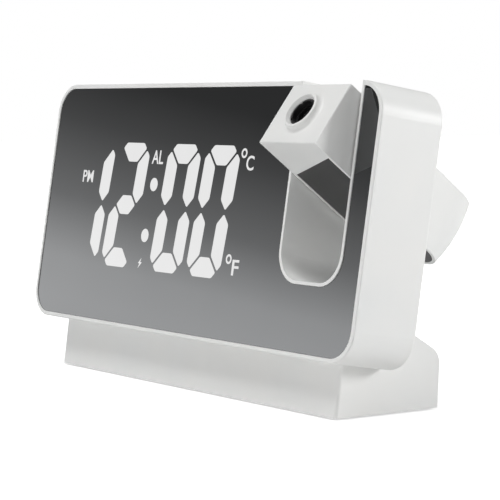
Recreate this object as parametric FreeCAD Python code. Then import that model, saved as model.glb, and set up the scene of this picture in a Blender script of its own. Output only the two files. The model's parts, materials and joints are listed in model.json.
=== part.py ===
"""Projection alarm clock: a mirror-front digital clock on a wedge base, with a swinging projector arm.

Millimetres. The clock stands on Z = 0 on its rubber feet, X runs to the right as seen from the
front, Y runs to the back. The origin is the middle of the base, on the surface that it stands on.
The housing leans back; its pieces are drawn upright in a housing frame, whose origin is the middle
of the front plane's bottom edge, and are tilted into place at the end. The arm's pieces are drawn
in an arm frame, whose origin is the pivot and whose +Z runs to the lens.
"""

import FreeCAD, Part
import math
import os

from FreeCAD import Vector, Rotation, Placement

# Housing: outer size, lean and corner
BODY_W = 190.0
BODY_H = 85.0
BODY_D = 23.9
LEAN = 9.0
CORNER_R = 10.3
WALL = 2.2
BEZEL = 1.5
FRONT_EDGE_R = 0.5
REAR_EDGE_R = 1.0

# Mirror panel at the front
MIRROR_T = 2.0
MIRROR_INSET = 0.3
MIRROR_GAP = 0.1
LEDGE_W = 2.4
LEDGE_T = 1.6

# Rear cover
REAR_T = 1.8
REAR_INSET = 0.3
REAR_GAP = 0.1

# Where the housing stands over the table
FRONT_Y = -25.2
FRONT_Z = 18.1

# Base block
BASE_W = 163.0
BASE_D = 40.1
FOOT_H = 0.6
BASE_WALL = 2.2
BASE_REAR_H = 17.0
BASE_REAR_FLARE = 1.0
BASE_SLOPE = 31.5
BASE_REAR_R = 6.0
BASE_FRONT_H = 25.0
BASE_FRONT_LEAN = 3.2
BASE_EDGE_R = 1.2
RUN_IN = 4.0
PLATE_T = 2.0
PLATE_GAP = 0.1
PLATE_EDGE = 1.2
FOOT_R = 5.0
FOOT_SINK = 0.9
FOOT_INSET = 11.0
FOOT_INSET_Y = 9.0
FOOT_EDGE = 0.3
FOOT_GAP = 0.1

# Projector arm
ARM_W = 28.3
ARM_T = 22.1
ARM_FROM_SIDE = 25.9
ARM_LENS_END = 24.4
ARM_TAIL_R = 41.2
ARM_TAIL_CORNER = 8.5
ARM_WALL = 1.8
ARM_EDGE = 0.5
ARM_OPEN = 61.8
ARM_BACK_T = 1.6
PIVOT_FROM_TOP = 22.1
PIVOT_OFF = 1.0

# Trough that the arm swings in
SIDE_GAP = 0.8
TAIL_GAP = 0.45
TROUGH_WALL = 1.0
TROUGH_FLOOR = 1.8
RIM_DEPTH = 2.4

# Pivot
PIN_R = 3.0
PIN_CLEAR = 0.06
PIN_GRIP = 3.6
PIN_OUT = 3.6
PIN_END = 0.5
SOCKET_GRIP_WALL = 2.0
SOCKET_END = 1.2
PIN_BORE_R = 1.4
BOSS_R = 6.0
WASHER_T = 0.5
WASHER_R = 5.6
CLIP_T = 0.8
CLIP_GAP = 0.3
CLIP_R = 4.6

# Lens and its collar
COLLAR_H = 2.0
COLLAR_R = 6.4
COLLAR_FLARE = 1.6
COLLAR_MOUTH_R = 5.6
COLLAR_ROUND = 0.5
COLLAR_ROOT = 0.3
BARREL_R = 4.8
BARREL_CLEAR = 0.08
BARREL_BORE_R = 4.0
BARREL_TOP = 0.9
BARREL_LEN = 12.0
BARREL_EDGE = 0.3
NOTCH_COUNT = 4
NOTCH_W = 1.0
NOTCH_DEEP = 0.5
NOTCH_IN = 0.2
BARREL_TUBE_WALL = 1.6
BARREL_TUBE_LEN = 9.0
LENS_T = 3.2
LENS_SET = 1.5
LENS_CROWN = 1.3
LENS_SEAT = 0.6
RING_T = 0.7
RING_W = 0.5

# Arm window
WINDOW_RIM = 1.15
WINDOW_T = 1.4
WINDOW_INSET = 0.15
WINDOW_LOW = 7.4
WINDOW_HIGH = 17.0
FIT_GAP = 0.05
RIB_COUNT = 5
RIB_LOW = -30.0
RIB_PITCH = 2.2
RIB_L = 14.0
RIB_W = 0.9
RIB_DEEP = 0.5

# Optics inside the arm
OPTICS_R = 7.6
OPTICS_WALL = 1.2
SLIDE_T = 1.1
SLIDE_SIDE = 8.0
CONDENSER_T = 3.4
CONDENSER_CROWN = 1.35
LAMP_BOARD_T = 1.2
LAMP_BOARD_W = 18.0
LAMP_BOARD_H = 15.2
LAMP_SIDE = 3.6
LAMP_FOOT = 0.8
LAMP_DOME_R = 1.5
LAMP_DOME_H = 1.2
HOLDER_LIP = 0.8
HOLDER_LEG = 4.6
SLIDE_GAP = 0.1

# Display: four slanted seven-segment digits and a colon
DIGIT_H = 43.5
DIGIT_W = 21.0
DIGIT_STROKE = 6.7
DIGIT_SLANT = 5.0
DIGIT_PITCH = 22.7
HOURS_X = -62.8
MINUTES_X = -8.6
SEGMENT_GAP = 0.9
COLON_R = 2.6
COLON_RISE = 8.8
REFLECTOR_GAP = 0.1
BOARD_EDGE = 2.0
BOARD_GAP = 0.9
REFLECTOR_EDGE = 4.5
BOARD_T = 1.6
CHIP = 2.6
CHIP_T = 0.8

# Keys in the rear cover, and the snooze key in the top
KEY_COUNT = 5
KEY_W = 9.0
KEY_H = 5.0
KEY_PITCH = 15.0
KEY_FROM_TOP = 17.0
KEY_PROUD = 0.9
KEY_GAP = 0.25
KEY_TRAVEL = 0.6
KEY_FLANGE = 1.0
KEY_FLANGE_T = 1.0
KEY_SEAT = 0.3
KEY_STEM = 1.8
KEY_STEM_R = 1.2
SWITCH_SIDE = 4.6
SWITCH_T = 2.4
PLUNGER_T = 0.6
PLUNGER_R = 1.5
PLUNGER_GAP = 0.1
KEY_BOARD_H = 12.0
KEY_POST_R = 2.2
KEY_POST_EDGE = 0.5
KEY_CORNER_R = 1.2
KEY_EDGE_R = 0.4
BRACKET_SIDE = 6.0
SNOOZE_W = 44.0
SNOOZE_D = 9.0
SNOOZE_X = -8.0
SNOOZE_SINK = 0.1
SNOOZE_BACK = 1.0

# Sounder, sockets, coin cell and screws
BUZZER_R = 11.0
BUZZER_T = 4.0
BUZZER_X = 14.0
BUZZER_V = 36.0
SOUND_HOLE_R = 0.9
SOUND_RINGS = 2
SOUND_PITCH = 3.4
BUZZER_MOUTH_R = 2.0
VENT_COUNT = 9
VENT_X = -70.0
VENT_PITCH = 4.0
VENT_W = 1.6
VENT_V = 22.0
VENT_H = 16.0
SOCKET_W = 8.9
SOCKET_H = 3.2
SOCKET_DEEP = 7.4
SOCKET_WALL = 0.3
SOCKET_Z = 9.6
SOCKET_X = -34.0
SOCKET_GAP = 0.1
SOCKET_CORNER = 1.5
TONGUE_W = 6.6
TONGUE_T = 0.7
SOCKET_BOARD_W = 28.0
SOCKET_BOARD_D = 16.0
SOCKET_POST_R = 2.0
SOCKET_POST_X = 10.0
CELL_R = 10.0
CELL_T = 3.2
CELL_X = 30.0
CELL_GAP = 0.3
CUP_WALL = 1.2
CUP_OVER = 1.2
CONTACT_L = 16.0
CONTACT_W = 3.2
CONTACT_T = 0.3
COIN_SLOT_L = 10.0
COIN_SLOT_W = 1.6
COIN_SLOT_DEEP = 0.7
DOOR_MARGIN = 2.4
DOOR_T = 1.4
DOOR_GAP = 0.15
SCREW_R = 1.3
SCREW_HEAD_R = 2.4
SCREW_HEAD_T = 1.2
SCREW_LEN = 9.0
SCREW_GAP = 0.2
POST_WALL = 2.0
REAR_POST_WALL = 0.8
HEAD_SINK = 0.1
REAR_SCREW_SIDE = 11.0
REAR_SCREW_TROUGH = 9.0
REAR_SCREW_LOW = 12.0
REAR_SCREW_TOP = 8.0
BASE_SCREW_SIDE = 21.5
BASE_SCREW_EDGE = 11.05
WEIGHT_T = 3.0
WEIGHT_X = -16.0
WEIGHT_W = 30.0
WEIGHT_D = 24.0
NECK_SCREW_LEFT = 31.5
NECK_SCREW_RIGHT = 51.5
NECK_SCREW_W = 14.0
NECK_BOSS_H = 5.0

# Values worked out from the sizes above
ARM_X = BODY_W / 2 - ARM_FROM_SIDE
PIVOT_V = BODY_H - PIVOT_FROM_TOP
PIVOT_W = BODY_D / 2 + PIVOT_OFF
ARM_FRONT = -ARM_T / 2 - PIVOT_OFF
ARM_REAR = ARM_T / 2 - PIVOT_OFF
MIRROR_BACK = MIRROR_INSET + MIRROR_T
REAR_FACE = BODY_D - REAR_INSET
REAR_INNER = REAR_FACE - REAR_T
NECK_SCREW_XS = [NECK_SCREW_LEFT - BASE_W / 2, BASE_W / 2 - NECK_SCREW_RIGHT]
TROUGH_IN = ARM_W / 2 + SIDE_GAP
TROUGH_OUT = TROUGH_IN + TROUGH_WALL
TROUGH_R = ARM_TAIL_R + TAIL_GAP
TROUGH_CORNER = ARM_TAIL_CORNER + SIDE_GAP - 0.1
RIM_LOW = PIVOT_V - math.sqrt(TROUGH_R ** 2 - PIVOT_W ** 2) - TROUGH_WALL
TROUGH_LOW = PIVOT_V - TROUGH_R - TROUGH_FLOOR
RIM_CORNER = TROUGH_CORNER + TROUGH_WALL
BORE_R = PIN_R + PIN_CLEAR
DIGIT_V = BODY_H / 2
KEY_V = BODY_H - KEY_FROM_TOP
STEM_END = REAR_INNER - KEY_SEAT - KEY_FLANGE_T - KEY_STEM
SWITCH_FACE = STEM_END - KEY_TRAVEL - PLUNGER_GAP - PLUNGER_T
KEY_BOARD_FACE = SWITCH_FACE - SWITCH_T
REFLECTOR_BACK = KEY_BOARD_FACE - 2 * BOARD_T - BOARD_GAP
SNOOZE_W_POS = BODY_D / 2 + SNOOZE_BACK
EPS = 0.01
OPTICS_TOP = ARM_LENS_END - ARM_WALL - BARREL_TUBE_LEN
OPTICS_LEN = SLIDE_T + CONDENSER_T + HOLDER_LEG

os.makedirs("parts", exist_ok=True)


# General helpers

def edges_at_y(shape, y):
    """The edges that lie wholly in one plane across Y."""
    return [e for e in shape.Edges if abs(e.BoundBox.YMin - y) < EPS and abs(e.BoundBox.YMax - y) < EPS]


def box(x0, x1, y0, y1, z0, z1):
    return Part.makeBox(x1 - x0, y1 - y0, z1 - z0, Vector(x0, y0, z0))


def rod(radius, x, y, z, axis, length):
    return Part.makeCylinder(radius, length, Vector(x, y, z), axis)


def join(shapes):
    first = shapes[0]
    if len(shapes) == 1:
        return first
    return first.fuse(shapes[1:]).removeSplitter()


def slab(x0, x1, z0, z1, radius, y0, y1):
    """Rounded rectangle in the XZ plane, drawn out along Y."""
    block = box(x0, x1, y0, y1, z0, z1)
    if radius <= 0:
        return block
    uprights = [e for e in block.Edges
                if abs(e.Vertexes[0].Y - e.Vertexes[1].Y) > (y1 - y0) / 2]
    return block.makeFillet(radius, uprights)


def prism(points, y0, y1):
    """Outline of (x, z) corners, drawn out along Y."""
    wire = Part.makePolygon([Vector(x, y0, z) for x, z in points + points[:1]])
    return Part.Face(wire).extrude(Vector(0, y1 - y0, 0))


def channel(half, low, high, radius, y0, y1):
    """U-shaped block about X = 0: square at the top, rounded at the bottom corners."""
    block = box(-half, half, y0, y1, low, high)
    corners = [e for e in block.Edges
               if abs(e.Vertexes[0].Y - e.Vertexes[1].Y) > (y1 - y0) / 2
               and e.Vertexes[0].Z < low + EPS]
    return block.makeFillet(radius, corners)


def drum(half, radius, corner):
    """Solid of revolution about the X axis, with rounded rims: what an arm's tail sweeps."""
    bulge = corner * math.sqrt(0.5)
    a = Vector(-half, 0, 0)
    b = Vector(-half, 0, radius - corner)
    c = Vector(-half + corner, 0, radius)
    d = Vector(half - corner, 0, radius)
    e = Vector(half, 0, radius - corner)
    f = Vector(half, 0, 0)
    bc = Vector(-half + corner - bulge, 0, radius - corner + bulge)
    de = Vector(half - corner + bulge, 0, radius - corner + bulge)
    edges = [Part.makeLine(a, b), Part.Arc(b, bc, c).toShape(), Part.makeLine(c, d),
             Part.Arc(d, de, e).toShape(), Part.makeLine(e, f), Part.makeLine(f, a)]
    face = Part.Face(Part.Wire(edges))
    return face.revolve(Vector(0, 0, 0), Vector(1, 0, 0), 360)


def turned(profile):
    """Solid of revolution about the Z axis from (radius, z) corners."""
    wire = Part.makePolygon([Vector(r, 0, z) for r, z in profile + profile[:1]])
    return Part.Face(wire).revolve(Vector(0, 0, 0), Vector(0, 0, 1), 360)


def moved(shape, x, y, z):
    copy = shape.copy()
    copy.translate(Vector(x, y, z))
    return copy


HOUSING_PLACE = Placement(Vector(0, FRONT_Y, FRONT_Z), Rotation(Vector(1, 0, 0), -LEAN))
ARM_STOWED = Placement(Vector(ARM_X, PIVOT_W, PIVOT_V), Rotation())
ARM_SWING = Placement(Vector(0, 0, 0), Rotation(Vector(1, 0, 0), ARM_OPEN))
ARM_PLACE = HOUSING_PLACE.multiply(ARM_STOWED).multiply(ARM_SWING)


def depth_middle():
    """Middle of the clock's depth, from the arm's rounded front corner to the corner of its tail."""
    corner = Vector(0, ARM_FRONT + ARM_EDGE, ARM_LENS_END - ARM_EDGE)
    tail = Vector(0, ARM_REAR, -math.sqrt(ARM_TAIL_R ** 2 - ARM_REAR ** 2))
    return (ARM_PLACE.multVec(corner).y - ARM_EDGE + ARM_PLACE.multVec(tail).y) / 2


def put(shape, place):
    copy = shape.copy()
    copy.Placement = place.multiply(copy.Placement)
    return copy


def save(name, shape):
    """Writes a piece with the origin on the table, under the middle of the clock's width and depth."""
    shape = moved(shape, 0, -depth_middle(), 0)
    shape.exportStep("parts/" + name + ".step")
    print(name, len(shape.Solids), round(shape.Volume, 1), shape.isValid())


def save_housing(name, shape):
    save(name, put(shape, HOUSING_PLACE))


def save_arm(name, shape):
    save(name, put(shape, ARM_PLACE))


# Trough: the channel that the arm swings in, with a curved floor about the pivot

def trough_space(extra):
    """The room that the arm needs, in the housing frame, from below the floor to over the top."""
    sweep = drum(TROUGH_IN, TROUGH_R, TROUGH_CORNER)
    lower = sweep.common(box(-TROUGH_IN, TROUGH_IN, -TROUGH_R, TROUGH_R, -TROUGH_R, 0))
    upper = box(-TROUGH_IN, TROUGH_IN, -TROUGH_R, TROUGH_R, -EPS, BODY_H - PIVOT_V + extra)
    return moved(lower.fuse(upper), ARM_X, PIVOT_W, PIVOT_V)


def trough_outline(gap):
    """Outside of the trough: a low rim at the front, and a deeper channel behind it."""
    half = TROUGH_OUT + gap
    top = 2 * BODY_H
    rim = channel(half, RIM_LOW - gap, top, RIM_CORNER + gap, -1, RIM_DEPTH)
    back = channel(half, TROUGH_LOW - gap, top, RIM_CORNER + gap, RIM_DEPTH, BODY_D + 1)
    return moved(rim.fuse(back), ARM_X, 0, 0)


def pivot_bores(radius):
    reach = TROUGH_OUT + PIN_OUT + 2
    return rod(radius, ARM_X - reach, PIVOT_W, PIVOT_V, Vector(1, 0, 0), 2 * reach)


def arm_trough():
    slice_box = box(0, BODY_W, 0, REAR_FACE, 0, BODY_H)
    shell = trough_outline(0).common(slice_box)
    bosses = []
    for side in (-1, 1):
        start = ARM_X + side * (TROUGH_OUT - TROUGH_WALL / 2)
        length = PIN_OUT - TROUGH_WALL / 2
        bosses.append(rod(BOSS_R, start, PIVOT_W, PIVOT_V, Vector(side, 0, 0), length))
    shell = join([shell] + bosses)
    return shell.cut(trough_space(PIVOT_FROM_TOP)).cut(pivot_bores(BORE_R))


# Housing pieces

def front_frame():
    outer = slab(-BODY_W / 2, BODY_W / 2, 0, BODY_H, CORNER_R, 0, BODY_D)
    outer = outer.makeFillet(FRONT_EDGE_R, edges_at_y(outer, 0))
    outer = outer.makeFillet(REAR_EDGE_R, edges_at_y(outer, BODY_D))
    inner = slab(-BODY_W / 2 + WALL, BODY_W / 2 - WALL, WALL, BODY_H - WALL,
                 CORNER_R - WALL, MIRROR_BACK + LEDGE_T, BODY_D + 1)
    window = slab(-BODY_W / 2 + BEZEL, BODY_W / 2 - BEZEL, BEZEL, BODY_H - BEZEL,
                  CORNER_R - BEZEL, -1, MIRROR_BACK)
    ledge = BEZEL + LEDGE_W
    sight = slab(-BODY_W / 2 + ledge, BODY_W / 2 - ledge, ledge, BODY_H - ledge,
                 CORNER_R - ledge, -1, BODY_D)
    frame = outer.cut(inner).cut(window).cut(sight).cut(trough_outline(0))
    frame = frame.cut(snooze_cap(KEY_GAP, WALL))
    for x in NECK_SCREW_XS:
        boss = rod(SCREW_R + POST_WALL, x, NECK_SCREW_W, WALL - EPS, Vector(0, 0, 1), NECK_BOSS_H)
        hole = rod(SCREW_R, x, NECK_SCREW_W, -1, Vector(0, 0, 1), WALL + NECK_BOSS_H)
        frame = frame.fuse(boss).cut(hole)
    return frame.removeSplitter()


def mirror_panel():
    edge = BEZEL + MIRROR_GAP
    panel = slab(-BODY_W / 2 + edge, BODY_W / 2 - edge, edge, BODY_H - edge,
                 CORNER_R - edge, MIRROR_INSET, MIRROR_BACK)
    return panel.cut(trough_outline(MIRROR_GAP))


def key_x(index):
    return SNOOZE_X + (index - (KEY_COUNT - 1) / 2) * KEY_PITCH


def key_hole(index):
    x = key_x(index)
    half_w = KEY_W / 2 + KEY_GAP
    half_h = KEY_H / 2 + KEY_GAP
    return slab(x - half_w, x + half_w, KEY_V - half_h, KEY_V + half_h,
                KEY_CORNER_R + KEY_GAP, REAR_INNER - 1, BODY_D + 1)


def sound_holes():
    back = Vector(0, 1, 0)
    holes = [rod(SOUND_HOLE_R, BUZZER_X, REAR_INNER - 1, BUZZER_V, back, 2 + REAR_T)]
    for ring in range(1, SOUND_RINGS + 1):
        for step in range(6 * ring):
            angle = 2 * math.pi * step / (6 * ring)
            x = BUZZER_X + SOUND_PITCH * ring * math.cos(angle)
            z = BUZZER_V + SOUND_PITCH * ring * math.sin(angle)
            holes.append(rod(SOUND_HOLE_R, x, REAR_INNER - 1, z, back, 2 + REAR_T))
    return Part.makeCompound(holes)


REAR_SCREWS = [(x, z) for x in (REAR_SCREW_SIDE - BODY_W / 2, ARM_X - TROUGH_OUT - REAR_SCREW_TROUGH)
               for z in (REAR_SCREW_LOW, BODY_H - REAR_SCREW_TOP)]


def rear_cover():
    edge = WALL + REAR_GAP
    cover = slab(-BODY_W / 2 + edge, BODY_W / 2 - edge, edge, BODY_H - edge,
                 CORNER_R - edge, REAR_INNER, REAR_FACE)
    cover = cover.cut(trough_outline(REAR_GAP))
    for index in range(KEY_COUNT):
        cover = cover.cut(key_hole(index))
    cover = cover.cut(sound_holes())
    back = Vector(0, 1, 0)
    for x, z in REAR_SCREWS:
        length = REAR_INNER - REFLECTOR_BACK + EPS
        post = rod(SCREW_HEAD_R + REAR_POST_WALL, x, REFLECTOR_BACK, z, back, length)
        cover = cover.fuse(post)
        cover = cover.cut(rod(SCREW_R + SCREW_GAP, x, 0, z, back, BODY_D))
        head_low = REAR_FACE - SCREW_HEAD_T - SCREW_GAP
        cover = cover.cut(rod(SCREW_HEAD_R + SCREW_GAP, x, head_low, z, back, BODY_D))
    vent = []
    for index in range(VENT_COUNT):
        x = VENT_X + VENT_PITCH * index
        vent.append(slab(x - VENT_W / 2, x + VENT_W / 2, VENT_V, VENT_V + VENT_H, VENT_W / 2 - EPS,
                         REAR_INNER - 1, BODY_D + 1))
    cover = cover.fuse(key_board_posts())
    return cover.cut(Part.makeCompound(vent)).removeSplitter()


def screw(x, y, z, axis, length):
    """Countersunk-free pan screw: its head starts at the given point and it runs along axis."""
    head = rod(SCREW_HEAD_R, x, y, z, axis, SCREW_HEAD_T)
    shank = rod(SCREW_R, x, y, z, axis, length)
    return head.fuse(shank).removeSplitter()


def rear_screws():
    inward = Vector(0, -1, 0)
    start = REAR_FACE - HEAD_SINK
    return Part.makeCompound([screw(x, start, z, inward, SCREW_LEN) for x, z in REAR_SCREWS])


# Display behind the mirror

def segment_outlines():
    """The seven segments of one digit as (x, z) outlines about the digit's middle."""
    half_w = (DIGIT_W - DIGIT_STROKE) / 2
    half_h = (DIGIT_H - DIGIT_STROKE) / 2
    arm = DIGIT_STROKE / 2
    gap = SEGMENT_GAP / 2
    across = half_w - gap
    up = half_h / 2 - gap
    flat = [(-across, 0), (-across + arm, arm), (across - arm, arm),
            (across, 0), (across - arm, -arm), (-across + arm, -arm)]
    tall = [(0, -up), (arm, -up + arm), (arm, up - arm), (0, up), (-arm, up - arm), (-arm, -up + arm)]
    places = [(flat, 0, half_h), (flat, 0, 0), (flat, 0, -half_h)]
    for side in (-1, 1):
        for level in (-1, 1):
            places.append((tall, side * half_w, level * half_h / 2))
    return [[(x + dx, z + dz) for x, z in shape] for shape, dx, dz in places]


def slanted(points, x0):
    lean = math.tan(math.radians(DIGIT_SLANT))
    return [(x0 + x + z * lean, DIGIT_V + z) for x, z in points]


def digit_centres():
    return [HOURS_X, HOURS_X + DIGIT_PITCH, MINUTES_X, MINUTES_X + DIGIT_PITCH]


def colon_points():
    middle = (HOURS_X + DIGIT_PITCH + MINUTES_X) / 2
    lean = math.tan(math.radians(DIGIT_SLANT))
    return [(middle + side * COLON_RISE * lean, DIGIT_V + side * COLON_RISE) for side in (-1, 1)]


def display_reflector():
    """White block of light wells, one well for each segment, open to the mirror and the board."""
    x0 = HOURS_X - DIGIT_W / 2 - REFLECTOR_EDGE
    x1 = MINUTES_X + DIGIT_PITCH + DIGIT_W / 2 + REFLECTOR_EDGE
    z0 = DIGIT_V - DIGIT_H / 2 - REFLECTOR_EDGE
    z1 = DIGIT_V + DIGIT_H / 2 + REFLECTOR_EDGE
    front = MIRROR_BACK + REFLECTOR_GAP
    block = box(x0, x1, front, REFLECTOR_BACK, z0, z1)
    wells = []
    for centre in digit_centres():
        for outline in segment_outlines():
            wells.append(prism(slanted(outline, centre), front - 1, REFLECTOR_BACK + 1))
    for x, z in colon_points():
        wells.append(rod(COLON_R, x, front - 1, z, Vector(0, 1, 0), BODY_D))
    return block.cut(Part.makeCompound(wells))


def display_board():
    x0 = HOURS_X - DIGIT_W / 2 - REFLECTOR_EDGE - BOARD_EDGE
    x1 = MINUTES_X + DIGIT_PITCH + DIGIT_W / 2 + REFLECTOR_EDGE + BOARD_EDGE
    z0 = DIGIT_V - DIGIT_H / 2 - REFLECTOR_EDGE - BOARD_EDGE
    z1 = DIGIT_V + DIGIT_H / 2 + REFLECTOR_EDGE
    return box(x0, x1, REFLECTOR_BACK, REFLECTOR_BACK + BOARD_T, z0, z1)


def segment_lamps():
    """One small light-emitting chip on the board at the bottom of each well."""
    chips = []
    half = CHIP / 2
    for centre in digit_centres():
        for outline in segment_outlines():
            points = slanted(outline, centre)
            x = sum(p[0] for p in points) / len(points)
            z = sum(p[1] for p in points) / len(points)
            chips.append(box(x - half, x + half, REFLECTOR_BACK - CHIP_T, REFLECTOR_BACK,
                             z - half, z + half))
    for x, z in colon_points():
        chips.append(box(x - half, x + half, REFLECTOR_BACK - CHIP_T, REFLECTOR_BACK,
                         z - half, z + half))
    return Part.makeCompound(chips)


# Keys: caps through the rear cover, each with a flange behind it, over a switch on the key board

def key_cap(index):
    x = key_x(index)
    seat = REAR_INNER - KEY_SEAT
    top = REAR_FACE + KEY_PROUD
    cap = slab(x - KEY_W / 2, x + KEY_W / 2, KEY_V - KEY_H / 2, KEY_V + KEY_H / 2,
               KEY_CORNER_R, seat - EPS, top)
    rim = [e for e in cap.Edges if min(v.Y for v in e.Vertexes) > top - EPS]
    cap = cap.makeFillet(KEY_EDGE_R, rim)
    out = KEY_FLANGE + KEY_GAP
    flange = box(x - KEY_W / 2 - out, x + KEY_W / 2 + out, seat - KEY_FLANGE_T, seat,
                 KEY_V - KEY_H / 2 - out, KEY_V + KEY_H / 2 + out)
    stem = rod(KEY_STEM_R, x, STEM_END, KEY_V, Vector(0, 1, 0), KEY_STEM + EPS)
    return join([cap, flange, stem])


def key_switches():
    """Square tact switches with a round plunger, one under each rear key."""
    blocks = []
    half = SWITCH_SIDE / 2
    for index in range(KEY_COUNT):
        x = key_x(index)
        body = box(x - half, x + half, KEY_BOARD_FACE, SWITCH_FACE, KEY_V - half, KEY_V + half)
        plunger = rod(PLUNGER_R, x, SWITCH_FACE - EPS, KEY_V, Vector(0, 1, 0), PLUNGER_T + EPS)
        blocks.append(body.fuse(plunger).removeSplitter())
    return Part.makeCompound(blocks)


def key_board_half():
    outer_key = KEY_PITCH * (KEY_COUNT - 1) / 2 + KEY_W / 2 + KEY_FLANGE + KEY_GAP
    return outer_key + 2 * (KEY_POST_R + KEY_POST_EDGE)


def key_board_low():
    return KEY_V + KEY_H - KEY_BOARD_H


def key_board():
    half = key_board_half()
    low = key_board_low()
    return box(SNOOZE_X - half, SNOOZE_X + half, KEY_BOARD_FACE - BOARD_T, KEY_BOARD_FACE,
               low, low + KEY_BOARD_H)


def key_board_posts():
    """Pillars on the rear cover that the key board is held against."""
    posts = []
    for side in (-1, 1):
        x = SNOOZE_X + side * (key_board_half() - KEY_POST_R - KEY_POST_EDGE)
        posts.append(rod(KEY_POST_R, x, KEY_BOARD_FACE, key_board_low() + KEY_POST_R + KEY_POST_EDGE,
                         Vector(0, 1, 0), REAR_INNER - KEY_BOARD_FACE + EPS))
    return posts


def snooze_cap(gap, over):
    """Outline of the long key in the top, grown by a gap, up to a height over the top face."""
    half_w = SNOOZE_W / 2 + gap
    half_d = SNOOZE_D / 2 + gap
    low = BODY_H - WALL - 1
    block = box(SNOOZE_X - half_w, SNOOZE_X + half_w, SNOOZE_W_POS - half_d, SNOOZE_W_POS + half_d,
                low, BODY_H + over)
    uprights = [e for e in block.Edges if abs(e.Vertexes[0].Z - e.Vertexes[1].Z) > 1]
    return block.makeFillet(half_d - EPS, uprights)


def snooze_key():
    seat = BODY_H - WALL - KEY_SEAT
    cap = snooze_cap(0, -SNOOZE_SINK).common(box(-BODY_W, BODY_W, 0, BODY_D, seat - EPS, BODY_H))
    half_w = SNOOZE_W / 2 + KEY_FLANGE + KEY_GAP
    half_d = SNOOZE_D / 2 + KEY_FLANGE + KEY_GAP
    flange = box(SNOOZE_X - half_w, SNOOZE_X + half_w, SNOOZE_W_POS - half_d, SNOOZE_W_POS + half_d,
                 seat - KEY_FLANGE_T, seat)
    return join([cap, flange])


def snooze_switch():
    """Tact switch under the top key, on a bracket that stands on the key board's upper edge."""
    half = BRACKET_SIDE / 2
    face = BODY_H - WALL - KEY_SEAT - KEY_FLANGE_T - KEY_TRAVEL - PLUNGER_GAP - PLUNGER_T
    plunger = rod(PLUNGER_R, SNOOZE_X, SNOOZE_W_POS, face - EPS, Vector(0, 0, 1), PLUNGER_T + EPS)
    body = box(SNOOZE_X - half, SNOOZE_X + half, SNOOZE_W_POS - half, SNOOZE_W_POS + half,
               face - SWITCH_T, face)
    post = box(SNOOZE_X - half, SNOOZE_X + half, KEY_BOARD_FACE - BOARD_T, SNOOZE_W_POS + half,
               key_board_low() + KEY_BOARD_H, face - SWITCH_T + EPS)
    return join([body, plunger, post])


def buzzer():
    can = rod(BUZZER_R, BUZZER_X, REAR_INNER - BUZZER_T, BUZZER_V, Vector(0, 1, 0), BUZZER_T)
    return can.cut(rod(BUZZER_MOUTH_R, BUZZER_X, REAR_INNER - 1, BUZZER_V, Vector(0, 1, 0), 2))


# Base

def base_profile(inset):
    """Side outline (y, z) of the wedge, moved inwards by an inset, and run up into the housing."""
    front_low = -BASE_D / 2 + inset
    rear_low = BASE_D / 2 - inset
    rear_top = BASE_D / 2 + BASE_REAR_FLARE - inset
    slope = math.radians(BASE_SLOPE)
    knee = FOOT_H + BASE_REAR_H - inset * (1 - math.sin(slope)) / math.cos(slope)
    under = FRONT_Y + BODY_D - RUN_IN
    return [(front_low, FOOT_H), (rear_low, FOOT_H), (rear_top, knee),
            (under, knee + (rear_top - under) * math.tan(slope)),
            (front_low + BASE_FRONT_LEAN, BASE_FRONT_H)]


def wedge(inset, half_w, edge):
    points = base_profile(inset)
    wire = Part.makePolygon([Vector(-half_w, y, z) for y, z in points + points[:1]])
    block = Part.Face(wire).extrude(Vector(2 * half_w, 0, 0))
    knees = [e for e in block.Edges
             if abs(e.Vertexes[0].X - e.Vertexes[1].X) > half_w
             and abs(e.Vertexes[0].Y - points[2][0]) < EPS
             and abs(e.Vertexes[0].Z - points[2][1]) < EPS]
    block = block.makeFillet(BASE_REAR_R - inset, knees)
    if edge > 0:
        front = [e for e in block.Edges
                 if max(v.Y for v in e.Vertexes) < points[-1][0] + EPS
                 and abs(e.Vertexes[0].X - e.Vertexes[-1].X) < EPS]
        block = block.makeFillet(edge, front)
    return block


def housing_block(gap):
    block = slab(-BODY_W / 2, BODY_W / 2, -gap, BODY_H, CORNER_R, -gap, BODY_D + gap)
    return put(block, HOUSING_PLACE)


BASE_SCREWS = [(side * (BASE_W / 2 - BASE_SCREW_SIDE), end * (BASE_D / 2 - BASE_SCREW_EDGE))
               for side in (-1, 1) for end in (-1, 1)]


def base_shell():
    outer = wedge(0, BASE_W / 2, BASE_EDGE_R)
    room = wedge(BASE_WALL, BASE_W / 2 - BASE_WALL, 0)
    room = room.fuse(box(-BASE_W / 2 + PLATE_EDGE, BASE_W / 2 - PLATE_EDGE,
                         -BASE_D / 2 + PLATE_EDGE, BASE_D / 2 - PLATE_EDGE,
                         FOOT_H - 1, FOOT_H + PLATE_T))
    room = room.cut(housing_block(BASE_WALL))
    shell = outer.cut(housing_block(0)).cut(room)
    for x, y in BASE_SCREWS:
        post = rod(SCREW_R + POST_WALL, x, y, FOOT_H + PLATE_T, Vector(0, 0, 1), BODY_H)
        post = post.common(outer).cut(housing_block(0))
        shell = shell.fuse(post).cut(rod(SCREW_R, x, y, FOOT_H, Vector(0, 0, 1), SCREW_LEN + 1))
    for x in NECK_SCREW_XS:
        hole = rod(SCREW_R + SCREW_GAP, x, NECK_SCREW_W, -2 * BASE_WALL, Vector(0, 0, 1), 3 * BASE_WALL)
        shell = shell.cut(put(hole, HOUSING_PLACE))
    return shell.cut(socket_block(-SOCKET_GAP, 0, BASE_D)).removeSplitter()


def socket_block(inset, y0, y1):
    """Rounded block of the inlet's outline, moved inwards by an inset."""
    half = SOCKET_W / 2 - inset
    rise = SOCKET_H / 2 - inset
    return slab(SOCKET_X - half, SOCKET_X + half, SOCKET_Z - rise, SOCKET_Z + rise,
                SOCKET_CORNER - inset, y0, y1)


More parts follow.
